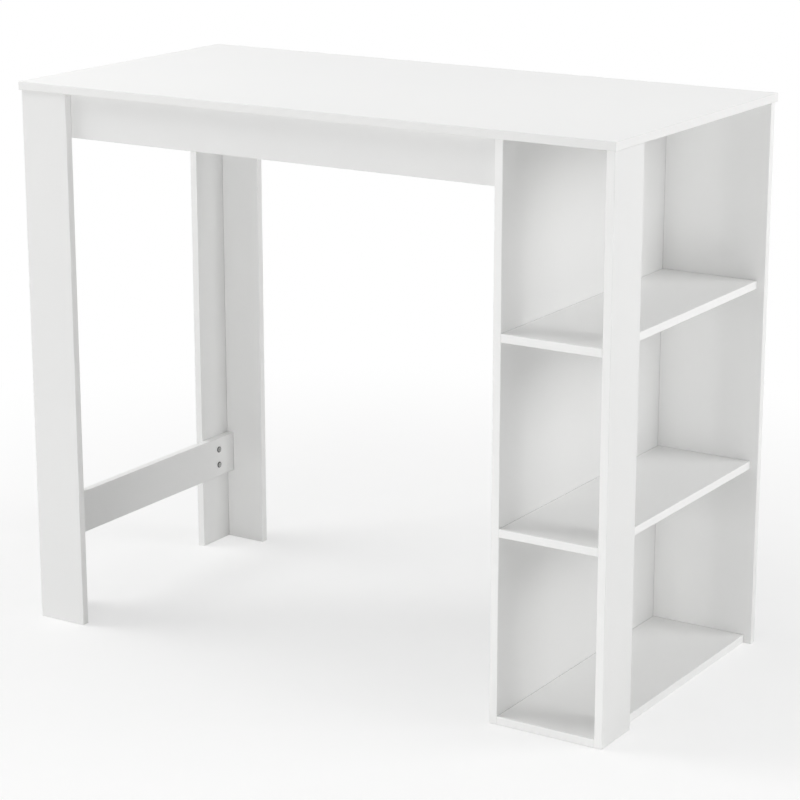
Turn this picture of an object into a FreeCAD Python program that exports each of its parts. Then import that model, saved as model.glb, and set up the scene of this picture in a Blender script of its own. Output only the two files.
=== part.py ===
import FreeCAD, Part
import math
import os
from FreeCAD import Vector

# Knock-down bar table of white melamine-faced board: two L-shaped legs and a foot rail at the left end,
# an open shelf tower at the right end, aprons between them and a thin top over all.
# +X runs from the legs to the tower, +Y from the front to the rear, +Z up. The origin lies on the floor
# under the middle of the top. Sizes are in millimetres.

# Boards
top_length = 1200.0
top_depth = 600.0
table_height = 1010.0
board = 15.0            # thickness of every board
overhang = 4.0          # the top stands this far proud of the legs and the tower
arris = 0.8             # broken edge of the banded edges
leg_width = 100.0       # outer width of both faces of an L leg
apron_height = 80.0
rail_height = 80.0
rail_clearance = 143.0  # floor to the foot rail's lower edge
tower_width = 215.0
post_depth = 100.0
shelf_names = ("bottom_shelf", "middle_shelf", "upper_shelf")

# Clearances and facets shared by all fittings
fit_gap = 0.15          # round a fitting in its hole
end_gap = 0.5           # at the blind end of a hole
rod_sides = 8           # facets round a dowel, a bolt's shank, a nut and their holes
disc_sides = 12         # facets round a cam and its bore, and round the head of a rail's bolt

# Cam locks: a hooked cam turned in from a board's hidden face draws in the head of a bolt
cam_radius = 7.5        # bore for the cam
cam_floor = 2.5         # board left under the cam
cam_setback = 34.0      # from the board's end to the cam's axis
hook_wall = 2.6         # wall that hooks behind the bolt's head
cross_length = 9.0      # driver recess in the cam's face
cross_width = 1.8
cross_depth = 2.4
bolt_head_radius = 2.8
bolt_head_length = 2.6
bolt_neck_radius = 1.6
bolt_shank_radius = 3.4
bolt_bore_radius = 4.0
pilot_radius = 2.5      # hole in the mating board for the bolt's stem
pilot_floor = 4.0

# Dowels
dowel_radius = 4.0
dowel_length = 30.0
dowel_floor = 5.0       # board left under a dowel in the mating board's face

# Bolts of the foot rail and of the left apron, with the threaded nuts that they run into
lap_bolt_radius = 3.0
lap_bolt_reach = 9.0    # length of bolt inside its nut
lap_bolt_edge = 35.0    # from the leg side board's free edge to the bolts
lap_head_radius = 6.0
lap_head_height = 1.8
lap_rim_height = 0.8    # upright edge under the head's bevel
lap_crown_radius = 5.0  # flat inside the bevel
socket_across = 4.0     # hexagon socket, across the flats
socket_depth = 2.0
nut_radius = 4.6
nut_floor = 2.5

# Places of the fittings
fitting_pitch = 32.0      # between neighbouring fittings
leg_dowel_count = 3
leg_dowel_inset = 80.0    # outermost leg dowels to the floor and to the aprons
apron_cam_inset = 240.0   # cams that hold the top, from the ends of the aprons
panel_cam_inset = 150.0   # cams that hold the top, from the ends of the side panel
shelf_cam_inset = 60.0    # from the shelves' front and rear edges

# Planes that the boards share
left = -top_length / 2 + overhang
right = top_length / 2 - overhang
front = -top_depth / 2 + overhang
rear = top_depth / 2 - overhang
left_inner = left + board
right_inner = right - board
front_inner = front + board
rear_inner = rear - board
under_top = table_height - board
apron_bottom = under_top - apron_height
rail_top = rail_clearance + rail_height
leg_side_front = front + leg_width
leg_side_rear = rear - leg_width
tower_left = right - tower_width
shelf_left = tower_left + board
post_rear = front + post_depth
shelf_pitch = under_top / len(shelf_names)

X, Y, Z = Vector(1, 0, 0), Vector(0, 1, 0), Vector(0, 0, 1)


def slab(low, high, square=""):
    """A board from corner to corner. Its edges are broken, except round the faces named in square:
    sawn ends that close up against another board, such as "-X +Z"."""
    solid = Part.makeBox(*[h - l for l, h in zip(low, high)], Vector(*low))
    planes = []
    for face in square.split():
        index = "XYZ".index(face[1])
        planes.append((index, high[index] if face[0] == "+" else low[index]))

    def sawn(edge):
        return any(all(abs(v.Point[i] - at) < arris / 2 for v in edge.Vertexes) for i, at in planes)

    return solid.makeChamfer(arris, [edge for edge in solid.Edges if not sawn(edge)])


def leg_boards(name, face_low, face_high, side_low, side_high, joint):
    """The two boards of an L leg: the face board covers the side board's sawn edge."""
    boards[name + "_leg_face"] = slab((left, face_low, 0), (left + leg_width, face_high, under_top), "+Z")
    boards[name + "_leg_side"] = slab((left, side_low, 0), (left_inner, side_high, under_top), "+Z " + joint)


boards = {}
boards["table_top"] = slab(
    (-top_length / 2, -top_depth / 2, under_top), (top_length / 2, top_depth / 2, table_height))
leg_boards("front_left", front, front_inner, front_inner, leg_side_front, "-Y")
leg_boards("rear_left", rear_inner, rear, leg_side_rear, rear_inner, "+Y")
boards["foot_rail"] = slab(
    (left_inner, front_inner, rail_clearance), (left_inner + board, rear_inner, rail_top), "-Y +Y")
boards["front_apron"] = slab(
    (left_inner, front_inner, apron_bottom), (tower_left, front_inner + board, under_top), "-X +X +Z")
boards["rear_apron"] = slab(
    (left_inner, rear_inner - board, apron_bottom), (tower_left, rear_inner, under_top), "-X +X +Z")
boards["left_apron"] = slab(
    (left_inner, front_inner + board, apron_bottom),
    (left_inner + board, rear_inner - board, under_top), "-Y +Y +Z")
boards["tower_side_panel"] = slab((tower_left, front, 0), (shelf_left, rear_inner, under_top), "+Y +Z")
boards["tower_back_panel"] = slab((tower_left, rear_inner, 0), (right, rear, under_top), "+Z")
boards["tower_post"] = slab((right_inner, front, 0), (right, post_rear, under_top), "+Z")
for level, name in enumerate(shelf_names):
    low = level * shelf_pitch
    boards[name] = slab((shelf_left, front, low), (right_inner, rear_inner, low + board), "-X +Y")

cuts = {name: [] for name in boards}
fittings = {}


def place(shape, origin, along, up):
    """A copy of a fitting with its local X along one direction and its local Z along another."""
    side = up.cross(along)
    matrix = FreeCAD.Matrix(along.x, side.x, up.x, origin.x, along.y, side.y, up.y, origin.y,
                            along.z, side.z, up.z, origin.z, 0, 0, 0, 1)
    copy = shape.copy()
    copy.Placement = FreeCAD.Placement(matrix)
    return copy


def ring(x, radius, sides):
    """A regular outline round local X, with flats above and below."""
    turns = [(i + 0.5) * 2 * math.pi / sides for i in range(sides + 1)]
    return Part.makePolygon([Vector(x, radius * math.sin(turn), radius * math.cos(turn)) for turn in turns])


def turned(profile, sides):
    """A solid turned about local X from (x, radius) points, with a given number of facets round it."""
    lengths = []
    for (x, radius), (next_x, next_radius) in zip(profile, profile[1:]):
        if next_x > x:
            ends = [ring(x, radius, sides), ring(next_x, next_radius, sides)]
            lengths.append(Part.makeLoft(ends, True, True))
    return lengths[0].fuse(lengths[1:]).removeSplitter() if len(lengths) > 1 else lengths[0]


def drill(name, mouth, direction, up, radius, depth, sides):
    """Marks a hole in a board, from its mouth along a direction."""
    cuts[name].append(place(turned([(0, radius), (depth, radius)], sides), mouth, direction, up))


def disc(radius, low, high):
    """A round body about local Z, from one height to another."""
    return place(turned([(low, radius), (high, radius)], disc_sides), Vector(), Z, X)


hook_plane = cam_radius - fit_gap - hook_wall


def make_cam():
    """Cam lock: local Z out of the board's face, local X towards the bolt. The bolt's head comes in through
    the mouth at local Y, and a quarter turn brings the hooked wall behind it."""
    depth = board - cam_floor
    middle = -board / 2
    head_room = bolt_head_radius + fit_gap
    neck_room = bolt_neck_radius + fit_gap
    body = disc(cam_radius - fit_gap, end_gap - depth, 0)
    mouth = Part.makeBox(head_room + hook_plane, head_room + cam_radius, 2 * head_room,
                         Vector(-head_room, -head_room, middle - head_room))
    slot = Part.makeBox(cam_radius, neck_room + cam_radius, 2 * neck_room,
                        Vector(0, -neck_room, middle - neck_room))
    bars = []
    for size_x, size_y in ((cross_length, cross_width), (cross_width, cross_length)):
        bars.append(Part.makeBox(size_x, size_y, cross_depth, Vector(-size_x / 2, -size_y / 2, -cross_depth)))
    return body.cut([mouth, slot] + bars).removeSplitter()


def make_cam_bolt():
    """Cam bolt: its head in the cam's hollow, its shank in one board's end, its stem in the other's face."""
    shoulder = hook_plane - fit_gap
    shank = cam_radius + fit_gap
    stem_radius = pilot_radius - fit_gap
    return turned([
        (shoulder - bolt_head_length, bolt_head_radius), (shoulder, bolt_head_radius),
        (shoulder, bolt_neck_radius), (shank, bolt_neck_radius),
        (shank, bolt_shank_radius), (cam_setback, bolt_shank_radius),
        (cam_setback, stem_radius), (cam_setback + board - pilot_floor - end_gap, stem_radius)], rod_sides)


def make_dowel():
    """Grooved beech dowel, from its end in the mating board's face towards local X."""
    return turned([(0, dowel_radius), (dowel_length, dowel_radius)], rod_sides)


def make_lap_bolt():
    """Flat-headed bolt with a hexagon socket. Local X runs out of the head, which seats at x = 0."""
    shank_radius = lap_bolt_radius - fit_gap
    shank = turned([(-board - lap_bolt_reach, shank_radius), (0, shank_radius)], rod_sides)
    head = turned([(0, lap_head_radius), (lap_rim_height, lap_head_radius),
                   (lap_head_height, lap_crown_radius)], disc_sides)
    socket = turned([(lap_head_height - socket_depth, socket_across / math.sqrt(3)),
                     (lap_head_height, socket_across / math.sqrt(3))], 6)
    return shank.fuse(head).removeSplitter().cut(socket)


def make_nut():
    """Threaded nut, pressed flush into a board's face. Local X runs out of its mouth, which lies at x = 0."""
    length = board - nut_floor - end_gap
    blank = turned([(-length, nut_radius), (0, nut_radius)], rod_sides)
    return blank.cut(turned([(-length, lap_bolt_radius), (0, lap_bolt_radius)], rod_sides))


cam, cam_bolt, dowel, lap_bolt, nut = make_cam(), make_cam_bolt(), make_dowel(), make_lap_bolt(), make_nut()


def cam_joint(group, ended, faced, point, inward, cam_face):
    """Draws the end of one board to the face of another. The point lies on the joint, at the middle of the
    ended board's thickness; inward runs into that board, and its cam is turned in from cam_face."""
    axis = point + inward * cam_setback + cam_face * (board / 2)
    drill(ended, axis, -cam_face, inward, cam_radius, board - cam_floor, disc_sides)
    drill(ended, point, inward, cam_face, bolt_bore_radius, cam_setback, rod_sides)
    drill(faced, point, -inward, cam_face, pilot_radius, board - pilot_floor, rod_sides)
    fittings.setdefault(group + "_cams", []).append(place(cam, axis, -inward, cam_face))
    fittings.setdefault(group + "_cam_bolts", []).append(
        place(cam_bolt, axis - cam_face * (board / 2), -inward, cam_face))


def dowel_joint(group, ended, faced, point, inward):
    """Locates the end of one board on the face of another with a dowel through the point."""
    in_face = board - dowel_floor - end_gap
    across = X if abs(inward.x) < 0.5 else Y
    drill(faced, point, -inward, across, dowel_radius + fit_gap, in_face + end_gap, rod_sides)
    drill(ended, point, inward, across, dowel_radius + fit_gap, dowel_length - in_face + end_gap, rod_sides)
    fittings.setdefault(group + "_dowels", []).append(place(dowel, point - inward * in_face, inward, across))


def lap_joint(rail, leg_side, point):
    """Bolts a rail flat to the inner face of a leg's side board. The point lies where the two faces meet."""
    drill(rail, point, X, Z, lap_bolt_radius + fit_gap, board, rod_sides)
    drill(leg_side, point, -X, Z, nut_radius + fit_gap, board - nut_floor, rod_sides)
    fittings.setdefault(rail + "_bolts", []).append(place(lap_bolt, point + X * board, X, Z))
    fittings.setdefault("insert_nuts", []).append(place(nut, point, X, Z))


# Legs: each side board is doweled and glued to its face board
leg_dowel_step = (apron_bottom - 2 * leg_dowel_inset) / (leg_dowel_count - 1)
for i in range(leg_dowel_count):
    height = leg_dowel_inset + i * leg_dowel_step
    for end, plane, inward in (("front", front_inner, Y), ("rear", rear_inner, -Y)):
        point = Vector(left + board / 2, plane, height)
        dowel_joint("leg", end + "_left_leg_side", end + "_left_leg_face", point, inward)

# Foot rail and left apron: bolted to the inner faces of the legs' side boards
half_pitch = fitting_pitch / 2
rail_middle = rail_clearance + rail_height / 2
apron_middle = apron_bottom + apron_height / 2
for rail, middle in (("foot_rail", rail_middle), ("left_apron", apron_middle)):
    for end, at in (("front", leg_side_front - lap_bolt_edge), ("rear", leg_side_rear + lap_bolt_edge)):
        for height in (middle - half_pitch, middle + half_pitch):
            lap_joint(rail, end + "_left_leg_side", Vector(left_inner, at, height))

# Front and rear aprons: a cam and a dowel at each end, and cams that draw the top down
for end, plane, inner in (("front", front_inner + board / 2, Y), ("rear", rear_inner - board / 2, -Y)):
    apron = end + "_apron"
    leg_side = end + "_left_leg_side"
    for neighbour, at, inward in ((leg_side, left_inner, X), ("tower_side_panel", tower_left, -X)):
        cam_joint("apron", apron, neighbour, Vector(at, plane, apron_middle + half_pitch), inward, inner)
        dowel_joint("apron", apron, neighbour, Vector(at, plane, apron_middle - half_pitch), inward)
    for at in (left_inner + apron_cam_inset, tower_left - apron_cam_inset):
        cam_joint("apron", apron, "table_top", Vector(at, plane, under_top), -Z, inner)

# Tower: its uprights are drawn up to the top, and its side panel back to the back panel
panel_x = tower_left + board / 2
panel_middle = (front + rear_inner) / 2
for at in (front + panel_cam_inset, rear_inner - panel_cam_inset):
    cam_joint("tower", "tower_side_panel", "table_top", Vector(panel_x, at, under_top), -Z, -X)
dowel_joint("tower", "tower_side_panel", "table_top", Vector(panel_x, panel_middle, under_top), -Z)
back_x = tower_left + tower_width / 2
back_y = rear_inner + board / 2
cam_joint("tower", "tower_back_panel", "table_top", Vector(back_x, back_y, under_top), -Z, Y)
for at in (back_x - 2 * fitting_pitch, back_x + 2 * fitting_pitch):
    dowel_joint("tower", "tower_back_panel", "table_top", Vector(at, back_y, under_top), -Z)
post_x = right_inner + board / 2
post_middle = front + post_depth / 2
cam_joint("tower", "tower_post", "table_top", Vector(post_x, post_middle - half_pitch, under_top), -Z, -X)
dowel_joint("tower", "tower_post", "table_top", Vector(post_x, post_middle + half_pitch, under_top), -Z)
for level in range(len(shelf_names)):
    point = Vector(panel_x, rear_inner, level * shelf_pitch + (shelf_pitch + board) / 2)
    if 0 < level < len(shelf_names) - 1:
        dowel_joint("tower", "tower_side_panel", "tower_back_panel", point, -Y)
    else:
        cam_joint("tower", "tower_side_panel", "tower_back_panel", point, -Y, -X)

# Shelves: drawn to the side panel, the post and the back panel by cams in their undersides
shelf_x = (shelf_left + right_inner) / 2
for level, name in enumerate(shelf_names):
    middle = level * shelf_pitch + board / 2
    for at in (front + shelf_cam_inset, rear_inner - shelf_cam_inset):
        cam_joint("shelf", name, "tower_side_panel", Vector(shelf_left, at, middle), X, -Z)
    dowel_joint("shelf", name, "tower_side_panel", Vector(shelf_left, panel_middle, middle), X)
    cam_joint("shelf", name, "tower_post", Vector(right_inner, post_middle - half_pitch, middle), -X, -Z)
    dowel_joint("shelf", name, "tower_post", Vector(right_inner, post_middle + half_pitch, middle), -X)
    cam_joint("shelf", name, "tower_back_panel", Vector(shelf_x - half_pitch, rear_inner, middle), -Y, -Z)
    dowel_joint("shelf", name, "tower_back_panel", Vector(shelf_x + half_pitch, rear_inner, middle), -Y)

os.makedirs("parts", exist_ok=True)
for name, solid in boards.items():
    drilled = solid.cut(cuts[name]) if cuts[name] else solid
    drilled.exportStep(f"parts/{name}.step")
for name, solids in fittings.items():
    Part.makeCompound(solids).exportStep(f"parts/{name}.step")
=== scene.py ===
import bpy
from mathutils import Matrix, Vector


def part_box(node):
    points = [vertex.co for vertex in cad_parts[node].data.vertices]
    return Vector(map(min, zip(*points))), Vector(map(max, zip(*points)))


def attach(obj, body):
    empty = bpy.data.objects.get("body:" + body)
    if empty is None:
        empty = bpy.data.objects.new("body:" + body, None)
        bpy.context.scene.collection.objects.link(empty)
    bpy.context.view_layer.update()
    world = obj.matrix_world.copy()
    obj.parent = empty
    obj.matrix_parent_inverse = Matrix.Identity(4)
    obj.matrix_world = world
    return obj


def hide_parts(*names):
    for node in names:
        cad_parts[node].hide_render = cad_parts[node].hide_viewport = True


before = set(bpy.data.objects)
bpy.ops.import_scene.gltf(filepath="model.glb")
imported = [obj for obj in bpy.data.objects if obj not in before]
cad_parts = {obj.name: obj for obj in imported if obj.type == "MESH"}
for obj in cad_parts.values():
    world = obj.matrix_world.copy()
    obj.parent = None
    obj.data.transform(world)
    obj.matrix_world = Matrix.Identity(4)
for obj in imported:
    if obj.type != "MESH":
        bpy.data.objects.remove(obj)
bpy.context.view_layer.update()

import math

import bmesh
import bpy
from mathutils import Matrix, Vector

# Lengths are in metres. A finish is a material, and a fitting is a piece of hardware.


# Legs at the left end. Each is an L of two 15 mm chipboards faced with white melamine: the face board covers
# the side board's sawn edge, and glued dowels hold the two. Every open edge is banded and its arris scraped.

class Socket:
    """An output of a shader node. Arithmetic with it adds Math nodes to the same tree."""

    def __init__(self, tree, output):
        self.tree = tree
        self.output = output

    @staticmethod
    def node(tree, kind, settings, sockets, output=0):
        """Adds a node: first its settings, then the values or links of its sockets."""
        made = tree.nodes.new("ShaderNode" + kind)
        for name, value in settings.items():
            setattr(made, name, value)
        for name, value in sockets.items():
            if isinstance(value, Socket):
                tree.links.new(value.output, made.inputs[name])
            else:
                made.inputs[name].default_value = value
        return Socket(tree, made.outputs[output]) if made.outputs else None

    def beside(self, name):
        """Another output of the same node."""
        return Socket(self.tree, self.output.node.outputs[name])

    def maths(self, operation, other=0.0):
        return Socket.node(self.tree, "Math", {"operation": operation}, {0: self, 1: other})

    def __add__(self, other):
        return self.maths("ADD", other)

    def __sub__(self, other):
        return self.maths("SUBTRACT", other)

    def __rsub__(self, other):
        return Socket.node(self.tree, "Math", {"operation": "SUBTRACT"}, {0: other, 1: self})

    def __mul__(self, other):
        return self.maths("MULTIPLY", other)

    __radd__ = __add__
    __rmul__ = __mul__

    def least(self, other):
        return self.maths("MINIMUM", other)

    def most(self, other):
        return self.maths("MAXIMUM", other)

    def rise(self, start, end):
        """0 below start, 1 above end, and a smooth step between them."""
        return Socket.node(self.tree, "MapRange", {"interpolation_type": "SMOOTHSTEP"},
                           {"Value": self, "From Min": start, "From Max": end})

    def vector(self, operation, other=(0, 0, 0)):
        return Socket.node(self.tree, "VectorMath", {"operation": operation}, {0: self, 1: other})

    def split(self):
        x = Socket.node(self.tree, "SeparateXYZ", {}, {"Vector": self}, "X")
        return [x, x.beside("Y"), x.beside("Z")]

    def noise(self, scale, detail=2.0):
        """Cloudy noise from 0 to 1 at these coordinates, with scale features to the metre."""
        return Socket.node(self.tree, "TexNoise", {},
                           {"Vector": self, "Scale": scale, "Detail": detail}, "Fac")

    def mix(self, first, second):
        """A colour from first to second as this value goes from 0 to 1."""
        paints = [(*paint, 1.0) if isinstance(paint, tuple) else paint for paint in (first, second)]
        # A Mix node keeps its two colours in inputs 6 and 7, and the mixed one in output 2
        return Socket.node(self.tree, "Mix", {"data_type": "RGBA"}, {0: self, 6: paints[0], 7: paints[1]}, 2)

    def bump(self, height):
        """The surface normal where this value, from 0 to 1, stands up to a given height."""
        return Socket.node(self.tree, "Bump", {},
                           {"Height": self, "Distance": height, "Strength": 1.0}, "Normal")


def new_finish(name):
    """An empty material and its node tree."""
    material = bpy.data.materials.new(name)
    material.use_nodes = True
    material.node_tree.nodes.clear()
    return material, material.node_tree


def coat(tree, sockets):
    """Ends a finish with its shader."""
    shader = Socket.node(tree, "BsdfPrincipled", {}, sockets)
    Socket.node(tree, "OutputMaterial", {}, {"Surface": shader})


white_melamine = (0.850, 0.850, 0.843)
cool_melamine = (0.838, 0.839, 0.834)
white_band = (0.895, 0.895, 0.888)
glue_line = (0.60, 0.59, 0.57)
gap_shade_colour = (0.16, 0.16, 0.155)
pale_chip = (0.66, 0.50, 0.32)
dark_chip = (0.42, 0.28, 0.15)
arris = 0.0008
hairline = 0.00045
pearl_height = 0.00003
satin_roughness = 0.40
# Marks to the metre: clouds and pearls on a face, streaks across and along a band, and chips in a bore
cloud_scale = 2.6
pearl_scale = 950.0
streaks_across = 700.0
streaks_along = 9.0
chip_scale = 420.0


def melamine(board, banding=white_band):
    """Pearl-textured white on the faces, banding on the edges, and bare chipboard inside the bores. How deep
    a point lies below the sides of its board's own box tells them apart."""
    low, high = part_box(board)
    half = (high - low) / 2
    thin = min(range(3), key=lambda axis: half[axis])
    lengthwise = max(range(3), key=lambda axis: half[axis])
    material, tree = new_finish(board + "_melamine")
    place = Socket.node(tree, "TexCoord", {}, {}, "Object")
    reach = place.vector("SUBTRACT", (low + high) / 2).vector("ABSOLUTE")
    depth = Socket.node(tree, "VectorMath", {"operation": "SUBTRACT"}, {0: half, 1: reach}).split()
    from_face = depth.pop(thin)
    from_edge = depth[0].least(depth[1])

    # Where the banded edge, the scraped arris, the hairline between two boards and the inside of a bore are;
    # the hairline gets painted shade
    band = from_face.rise(0.6 * arris, arris)
    scraped = (1 - from_face.rise(0.7 * arris, 1.2 * arris)) * (1 - from_edge.rise(0.7 * arris, 1.2 * arris))
    joint = (1 - from_edge.rise(0.6 * hairline, hairline)) * (1 - from_face.rise(0.1 * arris, 0.2 * arris))
    inside = from_face.least(from_edge).rise(1.3 * arris, 1.6 * arris)

    cloud = place.noise(cloud_scale, 3.0)
    pearl = place.noise(pearl_scale)
    drawn = [streaks_across] * 3
    drawn[lengthwise] = streaks_along
    streak = place.vector("MULTIPLY", drawn).noise(1.0, 3.0)
    chip = place.noise(chip_scale, 4.0)

    face = cloud.rise(0.3, 0.7).mix(cool_melamine, white_melamine)
    skin = band.mix(face, banding)
    rubbed = (scraped * streak.rise(0.35, 0.75) * 0.3).mix(skin, glue_line)
    # Painted shade: a dark line where two boards meet, standing in for the shadow in the hairline gap between
    # them
    with_gap_shade = joint.mix(rubbed, gap_shade_colour)
    flakes = chip.rise(0.35, 0.65).mix(dark_chip, pale_chip)
    sheen = satin_roughness + (cloud - 0.5) * 0.10 + (streak - 0.5) * 0.08 - band * 0.05 + scraped * 0.10
    relief = (pearl * (1 - band * 0.7) + streak * band * 0.5) * (1 - inside) + chip * inside * 4.0
    coat(tree, {"Base Color": inside.mix(with_gap_shade, flakes), "Roughness": sheen + inside * 0.4, "IOR": 1.5,
                "Normal": relief.bump(pearl_height)})
    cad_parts[board].data.materials.clear()
    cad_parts[board].data.materials.append(material)


for board in ("front_left_leg_face", "front_left_leg_side", "rear_left_leg_face", "rear_left_leg_side"):
    melamine(board)


# Dowels. Turned beech pins of 8 mm with pressed flutes, which let the glue spread, and chamfered ends.
# They are glued into blind holes and locate each board on the next.

flute_depth = 0.0002
dowel_chamfer = 0.0008
flute_count = 14
points_per_flute = 6
grain_height = 0.00004
sharp_angle = math.radians(32)


def solids_of(node):
    """The middle and the half size of each separate solid of a CAD node."""
    shape = bmesh.new()
    shape.from_mesh(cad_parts[node].data)
    bmesh.ops.remove_doubles(shape, verts=shape.verts, dist=1e-6)
    waiting = set(shape.verts)
    boxes = []
    while waiting:
        solid = [waiting.pop()]
        for vert in solid:
            near = {edge.other_vert(vert) for edge in vert.link_edges} & waiting
            waiting -= near
            solid.extend(near)
        low = Vector([min(vert.co[axis] for vert in solid) for axis in range(3)])
        high = Vector([max(vert.co[axis] for vert in solid) for axis in range(3)])
        boxes.append(((low + high) / 2, (high - low) / 2))
    shape.free()
    return sorted(boxes, key=lambda box: tuple(box[0]))


def main_axis(vector):
    """The unit vector along the axis that a vector follows most."""
    axis = max(range(3), key=lambda i: abs(vector[i]))
    unit = Vector((0, 0, 0))
    unit[axis] = math.copysign(1, vector[axis])
    return unit


def stand(origin, along, up):
    """Where a fitting goes, with its local X along one direction and its local Z along another."""
    return Matrix.Translation(origin) @ Matrix((along, up.cross(along), up)).transposed().to_4x4()


def evenly(count):
    return [2 * math.pi * i / count for i in range(count)]


def turned(loops, angles, hollow=False):
    """A mesh round local X. A loop is a place along X and a radius, which may be a function of the angle. The
    ends are capped, or joined to each other if the piece is hollow."""
    shape = bmesh.new()
    rings = []
    for x, radius in loops:
        reach = [radius(angle) if callable(radius) else radius for angle in angles]
        rings.append([shape.verts.new((x, r * math.cos(angle), r * math.sin(angle)))
                      for r, angle in zip(reach, angles)])
    for low, high in zip(rings, rings[1:] + rings[:1] if hollow else rings[1:]):
        for i in range(len(angles)):
            shape.faces.new((low[i - 1], low[i], high[i], high[i - 1]))
    if not hollow:
        shape.faces.new(rings[0])
        shape.faces.new(rings[-1])
    bmesh.ops.recalc_face_normals(shape, faces=shape.faces)
    return shape


def seat(node, shape, places, material):
    """Puts a copy of a fitting at each place, as one piece that stands for a CAD node. Each point keeps its
    place on its own fitting, so that grain and tool marks follow the fitting."""
    own_place = shape.verts.layers.float_vector.new("own_place")
    for vert in shape.verts:
        vert[own_place] = vert.co
    one = bpy.data.meshes.new("one_of_" + node)
    shape.to_mesh(one)
    group = bmesh.new()
    for place in places:
        before = len(group.verts)
        group.from_mesh(one)
        group.verts.ensure_lookup_table()
        bmesh.ops.transform(group, matrix=place, verts=group.verts[before:])
    mesh = bpy.data.meshes.new("fine_" + node)
    group.to_mesh(mesh)
    mesh.materials.append(material)
    mesh.polygons.foreach_set("use_smooth", [True] * len(mesh.polygons))
    mesh.set_sharp_from_angle(angle=sharp_angle)
    piece = bpy.data.objects.new("fine_" + node, mesh)
    bpy.context.scene.collection.objects.link(piece)
    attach(piece, "root")
    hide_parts(node)
    bpy.data.meshes.remove(one)


def own_coordinates(tree):
    """Coordinates on the fitting itself, with X along its axis."""
    return Socket.node(tree, "Attribute", {"attribute_name": "own_place"}, {}, "Vector")


pale_beech = (0.74, 0.56, 0.37)
dark_beech = (0.60, 0.41, 0.24)
beech, tree = new_finish("turned_beech")
own = own_coordinates(tree)
tint = Socket.node(tree, "TexCoord", {}, {}, "Object").noise(9.0)
grain = own.vector("MULTIPLY", (60.0, 900.0, 900.0)).noise(1.0, 4.0)
rays = own.vector("MULTIPLY", (500.0, 2600.0, 2600.0)).noise(1.0)
wood = (grain * 0.7 + tint * 0.3).rise(0.3, 0.7).mix(dark_beech, pale_beech)
coat(tree, {"Base Color": (rays.rise(0.62, 0.72) * 0.5).mix(wood, dark_beech),
            "Roughness": 0.55 + grain * 0.25,
            "Normal": (grain + rays * 0.4).bump(grain_height)})


def fluted(radius):
    return lambda angle: radius - flute_depth * (0.5 + 0.5 * math.cos(flute_count * angle)) ** 2


for node in ("leg_dowels", "apron_dowels", "tower_dowels", "shelf_dowels"):
    dowels = solids_of(node)
    middle, half = dowels[0]
    reach = max(half)
    dowel_radius = min(half) + flute_depth / 2
    dowel = turned([(-reach, dowel_radius - dowel_chamfer), (dowel_chamfer - reach, fluted(dowel_radius)),
                    (0.0, fluted(dowel_radius)),
                    (reach - dowel_chamfer, fluted(dowel_radius)), (reach, dowel_radius - dowel_chamfer)],
                   evenly(points_per_flute * flute_count))
    places = []
    for middle, half in dowels:
        along = main_axis(half)
        places.append(stand(middle, along, Vector((along.y, along.z, along.x))))
    seat(node, dowel, places, beech)


# Foot rail and left apron. Two boards that lie flat against the inner faces of the legs' side boards, one low
# down for the feet and one under the top. Each is held by two bolts at either end.

for board in ("foot_rail", "left_apron"):
    melamine(board)


# Insert nuts. Turned, zinc-plated steel sleeves with a plain collar and with ribs that grip the chipboard.
# They are pressed flush into the legs' side boards, for the bolts to run into.

nut_rib_depth = 0.00022
nut_rib_count = 18
points_per_rib = 4
nut_bore = 0.0029
nut_lip = 0.0004
lathe_mark_height = 0.000012

plated_grey = (0.42, 0.42, 0.415)
plated_dull = (0.30, 0.30, 0.30)
plated_steel, tree = new_finish("plated_steel")
own = own_coordinates(tree)
stain = own.noise(420.0, 3.0)
lathe_marks = own.vector("MULTIPLY", (5200.0, 300.0, 300.0)).noise(1.0)
coat(tree, {"Base Color": stain.rise(0.35, 0.7).mix(plated_dull, plated_grey), "Metallic": 1.0,
            "Roughness": 0.30 + stain * 0.16 + lathe_marks * 0.08,
            "Normal": (lathe_marks + stain * 0.5).bump(lathe_mark_height)})


def ribbed(radius):
    return lambda angle: radius - nut_rib_depth * (0.5 - 0.5 * math.cos(nut_rib_count * angle))


nuts = solids_of("insert_nuts")
middle, half = nuts[0]
reach, nut_radius = half.x, min(half.y, half.z)
nut = turned([(-reach, nut_radius - nut_lip), (nut_lip - reach, ribbed(nut_radius)),
              (reach - 3 * nut_lip, ribbed(nut_radius)), (reach - 2 * nut_lip, nut_radius),
              (reach, nut_radius), (reach, nut_bore + nut_lip), (reach - nut_lip, nut_bore),
              (nut_lip - reach, nut_bore), (-reach, nut_bore + nut_lip)],
             evenly(points_per_rib * nut_rib_count), hollow=True)
seat("insert_nuts", nut, [stand(middle, Vector((1, 0, 0)), Vector((0, 0, 1))) for middle, half in nuts],
     plated_steel)


# Bolts of the foot rail and the left apron. Plated steel with a wide, flat, bevelled head and a hexagon
# socket, turned with a key into the insert nuts. Two of them show on the foot rail.

bolt_sides = 36
bolt_thread_radius = 0.00275
bolt_pitch = 0.001
bolt_thread_depth = 0.0005
bolt_point = 0.0003
thread_steps = 6    # loops of mesh to one turn of a thread
bolt_plain_length = 0.004
head_radius = 0.006
head_rim = 0.0008
crown_radius = 0.005
head_edge = 0.0003
socket_half = 0.002
socket_depth = 0.002
bevel_steps = 3
key_wear_reach = 0.0006
brush_mark_height = 0.00001


def thread(start, end, radius, pitch, depth):
    """Loops of a rolled thread, which runs out at both ends."""
    count = round(thread_steps * (end - start) / pitch)
    for i in range(count + 1):
        x = start + (end - start) * i / count
        cut = depth * min(1.0, i / thread_steps, (count - i) / thread_steps)

        def crest(angle, x=x, cut=cut):
            turn = (x / pitch + angle / (2 * math.pi)) % 1
            return radius - cut * abs(2 * turn - 1)

        yield x, crest


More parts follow.
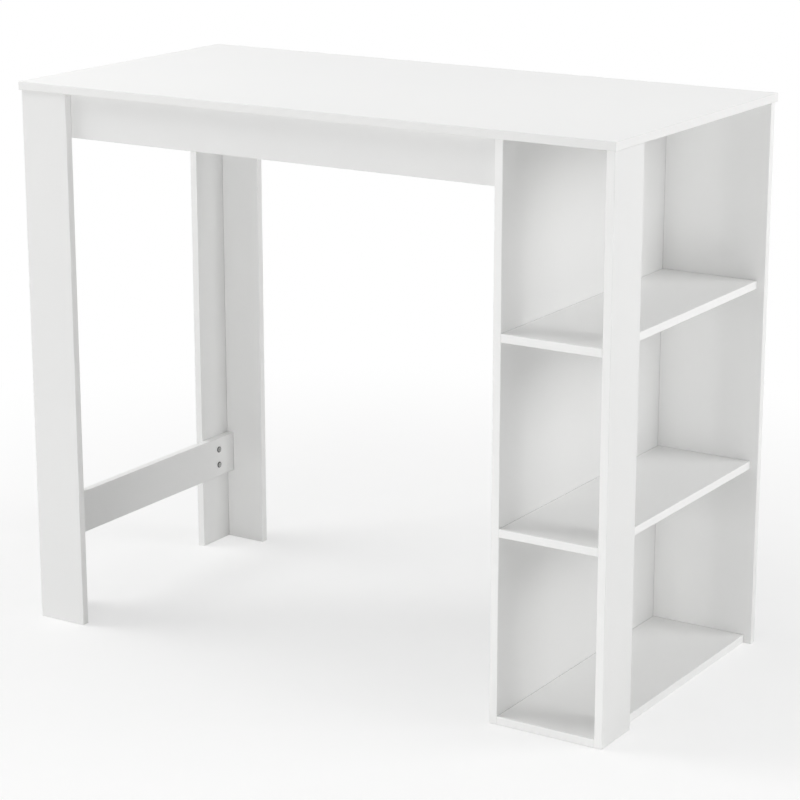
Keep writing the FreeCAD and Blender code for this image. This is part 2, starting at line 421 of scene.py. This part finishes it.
def hexagon(half):
    """A hexagon of a given half width across its flats, as a radius that changes with the angle."""
    return lambda angle: half / math.cos((angle % (math.pi / 3)) - math.pi / 6)


bolt_plating = (0.50, 0.50, 0.49)
worn_plating = (0.66, 0.66, 0.65)
# Painted shade and reflection: the bevel round each head is painted near black for the dark ring of shadow
# and dark reflection there
painted_shade_bevel = (0.10, 0.10, 0.105)
bolt_steel, tree = new_finish("bolt_steel")
own = own_coordinates(tree)
stain = own.noise(380.0, 3.0)
y, z = own.split()[1:]
from_axis = (y * y + z * z).maths("SQRT")
bevel = from_axis.rise(0.9 * crown_radius, crown_radius)
from_socket = (from_axis - 1.15 * socket_half).maths("ABSOLUTE")
used = (1 - from_socket.rise(0.0, key_wear_reach)) * stain.rise(0.3, 0.6)
brushed = own.vector("MULTIPLY", (4000.0, 400.0, 400.0)).noise(1.0)
coat(tree, {"Base Color": used.mix(bevel.mix(bolt_plating, painted_shade_bevel), worn_plating), "Metallic": 1.0,
            "Roughness": 0.32 + stain * 0.14 - used * 0.08,
            "Normal": (brushed + stain * 0.6).bump(brush_mark_height)})

for board in ("foot_rail", "left_apron"):
    bolts = solids_of(board + "_bolts")
    seat_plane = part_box(board)[1].x
    middle, half = bolts[0]
    tip = middle.x - half.x - seat_plane
    head_top = middle.x + half.x - seat_plane
    loops = [(tip, bolt_thread_radius - bolt_thread_depth)]
    loops += thread(tip + bolt_point, -bolt_plain_length, bolt_thread_radius, bolt_pitch, bolt_thread_depth)
    loops += [(0.0, bolt_thread_radius), (0.0, head_radius - head_edge), (head_edge, head_radius)]
    for i in range(bevel_steps + 1):
        turn = math.pi / 2 * i / bevel_steps
        loops.append((head_rim + (head_top - head_rim) * math.sin(turn),
                      crown_radius + (head_radius - crown_radius) * math.cos(turn)))
    socket_end = head_top - socket_depth
    loops += [(head_top, hexagon(socket_half + head_edge)), (head_top - head_edge, hexagon(socket_half)),
              (socket_end, hexagon(socket_half)), (socket_end - head_edge, socket_half / 2)]
    places = [stand(Vector((seat_plane, middle.y, middle.z)), Vector((1, 0, 0)), Vector((0, 0, 1)))
              for middle, half in bolts]
    seat(board + "_bolts", turned(loops, evenly(bolt_sides)), places, bolt_steel)


# Front and rear aprons. Rails on edge under the top, set in by one board from the faces of the legs.
# A cam and a dowel hold each end, and two more cams draw the top down.

for board in ("front_apron", "rear_apron"):
    melamine(board)


# Shelf tower at the right end. Melamine boards: a full side panel, a back panel and a narrow post carry three
# fixed shelves. Cams and dowels hold them, all on faces that are turned away from the user. The boards that
# come to the front get a whiter band, a painted highlight for the stronger light on their front edges.

# Painted highlight: the same banding as on the legs, made whiter for these boards
lit_front_band = (0.935, 0.935, 0.928)
melamine("tower_back_panel")
for board in ("tower_side_panel", "tower_post", "bottom_shelf", "middle_shelf", "upper_shelf"):
    melamine(board, lit_front_band)


# Cams. Die-cast zinc discs let flush into the boards. A driver in the cross recess turns the hooked wall
# behind the head of a bolt, which came in through the mouth, and an arrow on the face points to that mouth.

cam_sides = 48
cam_edge = 0.0003
cam_rim = 0.0011
cam_dish = 0.0004
cross_half_length = 0.0045
cross_half_width = 0.0009
cross_depth = 0.0024
cross_taper = 0.85
hook_plane = 0.00475
head_room = 0.00295
neck_room = 0.00175
bolt_depth = 0.0075
arrow_length = 0.001
arrow_width = 0.0012
arrow_depth = 0.00022
pit_height = 0.00002

bright_zinc = (0.66, 0.66, 0.65)
dull_zinc = (0.46, 0.47, 0.47)
zinc, tree = new_finish("cast_zinc")
own = own_coordinates(tree)
flow = own.noise(260.0, 3.0)
pits = own.noise(2400.0)
rubbed = own.split()[0].rise(-cam_edge, 0.0) * flow.rise(0.3, 0.6)
coat(tree, {"Base Color": (flow * 0.6 + rubbed * 0.4).rise(0.2, 0.6).mix(dull_zinc, bright_zinc),
            "Metallic": 1.0, "Roughness": 0.44 - rubbed * 0.12 + pits * 0.10,
            "Normal": (pits + flow).bump(pit_height)})


def cross(half_length, half_width):
    """The outline of a cross recess, as a radius that changes with the angle."""
    def radius(angle):
        wide, tall = abs(math.cos(angle)) + 1e-9, abs(math.sin(angle)) + 1e-9
        return max(min(half_length / wide, half_width / tall), min(half_width / wide, half_length / tall))
    return radius


def cut_away(shape, cutters):
    """A mesh less its cutters, which are convex and given by their corners."""
    body = bpy.data.meshes.new("uncut")
    shape.to_mesh(body)
    piece = bpy.data.objects.new("uncut", body)
    bpy.context.scene.collection.objects.link(piece)
    tools = []
    for corners in cutters:
        hull = bmesh.new()
        verts = [hull.verts.new(corner) for corner in corners]
        bmesh.ops.convex_hull(hull, input=verts)
        mesh = bpy.data.meshes.new("cutter")
        hull.to_mesh(mesh)
        tool = bpy.data.objects.new("cutter", mesh)
        bpy.context.scene.collection.objects.link(tool)
        modifier = piece.modifiers.new("cut", "BOOLEAN")
        modifier.object = tool
        modifier.solver = "EXACT"
        tools.append(tool)
    left = bpy.data.meshes.new_from_object(piece.evaluated_get(bpy.context.evaluated_depsgraph_get()))
    cut = bmesh.new()
    cut.from_mesh(left)
    bmesh.ops.remove_doubles(cut, verts=cut.verts, dist=1e-7)
    bmesh.ops.dissolve_degenerate(cut, edges=cut.edges, dist=1e-7)
    for mesh in [left, body] + [tool.data for tool in tools]:
        bpy.data.meshes.remove(mesh)
    return cut


def box_corners(low, high):
    return [(x, y, z) for x in (low[0], high[0]) for y in (low[1], high[1]) for z in (low[2], high[2])]


cams, cam_bolts = {}, {}
for group in ("apron", "tower", "shelf"):
    cams[group], cam_bolts[group] = [], []
    bolts = solids_of(group + "_cam_bolts")
    for middle, half in solids_of(group + "_cams"):
        axis = min(range(3), key=lambda i: half[i])
        nearest = min(bolts, key=lambda bolt: (bolt[0] - middle).length)
        toward = nearest[0] - middle
        outward = Vector((0, 0, 0))
        outward[axis] = -math.copysign(1, toward[axis])
        toward = main_axis(toward)
        face = middle + outward * half[axis]
        cams[group].append(stand(face, outward, toward))
        cam_bolts[group].append(stand(face - outward * bolt_depth, toward, outward))

# All cams are alike, and so are their bolts, so the last one gives the sizes
cam_depth, cam_radius = 2 * min(half), sorted(half)[1]
bolt_start = (nearest[0] - middle).dot(toward) - max(nearest[1])
bolt_end = bolt_start + 2 * max(nearest[1])
past = 2 * cam_radius
corner = math.atan2(cross_half_width, cross_half_length)
corners = [quarter + turn for quarter in evenly(4) for turn in (corner, math.pi / 2 - corner)]
cam = turned([(-cam_depth, cam_radius - cam_edge), (cam_edge - cam_depth, cam_radius),
              (-cam_edge, cam_radius), (0.0, cam_radius - cam_edge), (0.0, cam_radius - cam_rim),
              (-cam_dish, cam_radius - cam_rim - cam_dish),
              (-cam_dish, cross(cross_half_length, cross_half_width)),
              (-cross_depth, cross(cross_taper * cross_half_length, cross_taper * cross_half_width))],
             sorted(evenly(cam_sides) + corners))
mouth = box_corners((-bolt_depth - head_room, -past, -head_room),
                    (head_room - bolt_depth, head_room, hook_plane))
slot = box_corners((-bolt_depth - neck_room, -past, 0.0), (neck_room - bolt_depth, neck_room, past))
tip = 2 * cam_edge - cam_radius
barb = tip + arrow_length
arrow = [(x, y, z) for x in (-arrow_depth, past)
         for y, z in ((tip, 0.0), (barb, -arrow_width / 2), (barb, arrow_width / 2))]
cam = cut_away(cam, [mouth, slot, arrow])
for group, places in cams.items():
    seat(group + "_cams", cam.copy(), places, zinc)


# Cam bolts. Plated steel pins: a domed head for the cam to hook, a thin neck, a thick, grooved shank in the
# board's end and a coarse thread that is screwed into the mating board's face.

pin_sides = 24
pin_head_radius = 0.00275
pin_head_length = 0.0026
pin_dome = ((0.0, 0.55), (0.15, 0.85), (0.45, 1.0))    # shares of the head's length and radius
pin_neck_radius = 0.00155
pin_neck_end = 0.00765
pin_shank_radius = 0.0032
pin_groove = 0.0003
pin_groove_places = (0.3, 0.5, 0.7)    # shares of the shank
joint_plane = 0.034
pin_thread_radius = 0.00228
pin_pitch = 0.0016
pin_thread_depth = 0.0006

shoulder = bolt_start + pin_head_length
loops = [(bolt_start + along * pin_head_length, across * pin_head_radius) for along, across in pin_dome]
loops += [(shoulder, pin_head_radius), (shoulder, pin_neck_radius), (pin_neck_end, pin_neck_radius),
          (pin_neck_end, pin_shank_radius - pin_groove), (pin_neck_end + pin_groove, pin_shank_radius)]
for share in pin_groove_places:
    at = pin_neck_end + share * (joint_plane - pin_neck_end)
    loops += [(at - 2 * pin_groove, pin_shank_radius), (at - pin_groove, pin_shank_radius - pin_groove),
              (at + pin_groove, pin_shank_radius - pin_groove), (at + 2 * pin_groove, pin_shank_radius)]
loops += [(joint_plane - pin_groove, pin_shank_radius), (joint_plane, pin_shank_radius - pin_groove),
          (joint_plane, pin_thread_radius - pin_thread_depth / 2)]
loops += thread(joint_plane + pin_groove, bolt_end - pin_groove,
                pin_thread_radius, pin_pitch, pin_thread_depth)
loops += [(bolt_end, 0.5 * pin_thread_radius)]
pin = turned(loops, evenly(pin_sides))
for group, places in cam_bolts.items():
    seat(group + "_cam_bolts", pin.copy(), places, plated_steel)


# Table top. One melamine board over everything, with a few millimetres of overhang all round and banding on
# four edges. It lies on the legs, the aprons and the tower, and the cams under it hold it down.

# Painted shade: the top's band is greyer than the other bands, so that its edges render darker
shaded_top_band = (0.868, 0.868, 0.861)
melamine("table_top", shaded_top_band)


# Floor. A pale painted studio floor, which takes the table's soft shadow. The camera sees it through a veil
# of white, which thickens away from the table until the floor and the surroundings are one.

floor_reach = 6.0
floor_drop = 0.0005
veil = 0.55
veil_start = 0.6
veil_end = 2.0
floor_white = (0.93, 0.93, 0.925)
floor_shade = (0.92, 0.92, 0.915)


def in_view(tree):
    """1 for what the camera sees, straight or in a reflection, and 0 for light on its way to a surface."""
    ray = Socket.node(tree, "LightPath", {}, {}, "Is Camera Ray")
    return ray.most(ray.beside("Is Glossy Ray")).most(ray.beside("Is Transmission Ray"))


disc = bmesh.new()
bmesh.ops.create_circle(disc, cap_ends=True, radius=floor_reach, segments=96)
mesh = bpy.data.meshes.new("studio_floor")
disc.to_mesh(mesh)
studio_floor = bpy.data.objects.new("studio_floor", mesh)
studio_floor.location.z = -floor_drop
bpy.context.scene.collection.objects.link(studio_floor)
floor_paint, tree = new_finish("floor_paint")
place = Socket.node(tree, "TexCoord", {}, {}, "Object")
away = Socket.node(tree, "VectorMath", {"operation": "LENGTH"}, {0: place}, "Value")
mottle = place.noise(14.0, 4.0)
paint = Socket.node(tree, "BsdfPrincipled", {},
                    {"Base Color": mottle.rise(0.3, 0.7).mix(floor_shade, floor_white),
                     "Roughness": 0.75 + mottle * 0.1})
white = Socket.node(tree, "Emission", {}, {"Color": (1, 1, 1, 1), "Strength": 1.0})
thick = veil + (1 - veil) * away.rise(veil_start, veil_end)
veiled = Socket.node(tree, "MixShader", {}, {0: in_view(tree) * thick, 1: paint, 2: white})
Socket.node(tree, "OutputMaterial", {}, {"Surface": veiled})
mesh.materials.append(floor_paint)


# Light. Large softboxes stand on all sides, most of them on the left and the right, and the white
# surroundings fill in between them. The tower shades the knee space from the right, so the foot rail is
# the darkest.

surround_strength = 0.19
lamp_target = Vector((0, 0, 0.5))

world = bpy.data.worlds.new("studio")
bpy.context.scene.world = world
world.use_nodes = True
tree = world.node_tree
tree.nodes.clear()
lit = Socket.node(tree, "Background", {}, {"Color": (1, 1, 1, 1), "Strength": surround_strength})
shown = Socket.node(tree, "Background", {}, {"Color": (1, 1, 1, 1), "Strength": 1.0})
surround = Socket.node(tree, "MixShader", {}, {0: in_view(tree), 1: lit, 2: shown})
Socket.node(tree, "OutputWorld", {}, {"Surface": surround})


def softbox(name, place, width, power):
    """A square area lamp that faces the middle of the table and leaves no highlight of its own."""
    lamp = bpy.data.lights.new(name, "AREA")
    lamp.shape = "SQUARE"
    lamp.size = width
    lamp.energy = power
    holder = bpy.data.objects.new(name, lamp)
    holder.location = place
    holder.rotation_euler = (lamp_target - Vector(place)).to_track_quat("-Z", "Y").to_euler()
    holder.visible_glossy = False
    bpy.context.scene.collection.objects.link(holder)


softbox("overhead_softbox", (0.0, -0.4, 3.4), 3.0, 24.0)
softbox("high_left_softbox", (-2.8, -0.8, 3.6), 2.2, 55.0)
softbox("left_softbox", (-3.2, -1.4, 2.4), 2.2, 44.0)
softbox("right_softbox", (3.6, -0.6, 1.6), 2.2, 18.0)
softbox("right_rear_softbox", (3.4, 1.0, 2.6), 2.2, 62.5)
softbox("front_softbox", (0.6, -4.2, 0.6), 1.1, 43.0)


# Camera. A long lens at standing height, to the right of the table's front, and far enough off for the whole
# table to fit in a square picture.

sensor_millimetres = 36.0
lens_millimetres = 115.3
view_turn = math.radians(32.4)
view_tilt = math.radians(15.4)
view_target = Vector((0.137, -0.192, 0.505))
view_distance = 4.402

camera = bpy.data.cameras.new("camera")
camera.sensor_width = sensor_millimetres
camera.lens = lens_millimetres
holder = bpy.data.objects.new("camera", camera)
back = Vector((math.sin(view_turn) * math.cos(view_tilt), -math.cos(view_turn) * math.cos(view_tilt),
               math.sin(view_tilt)))
holder.location = view_target + back * view_distance
holder.rotation_euler = (-back).to_track_quat("-Z", "Y").to_euler()
bpy.context.scene.collection.objects.link(holder)
bpy.context.scene.camera = holder
bpy.context.scene.view_settings.view_transform = "Standard"
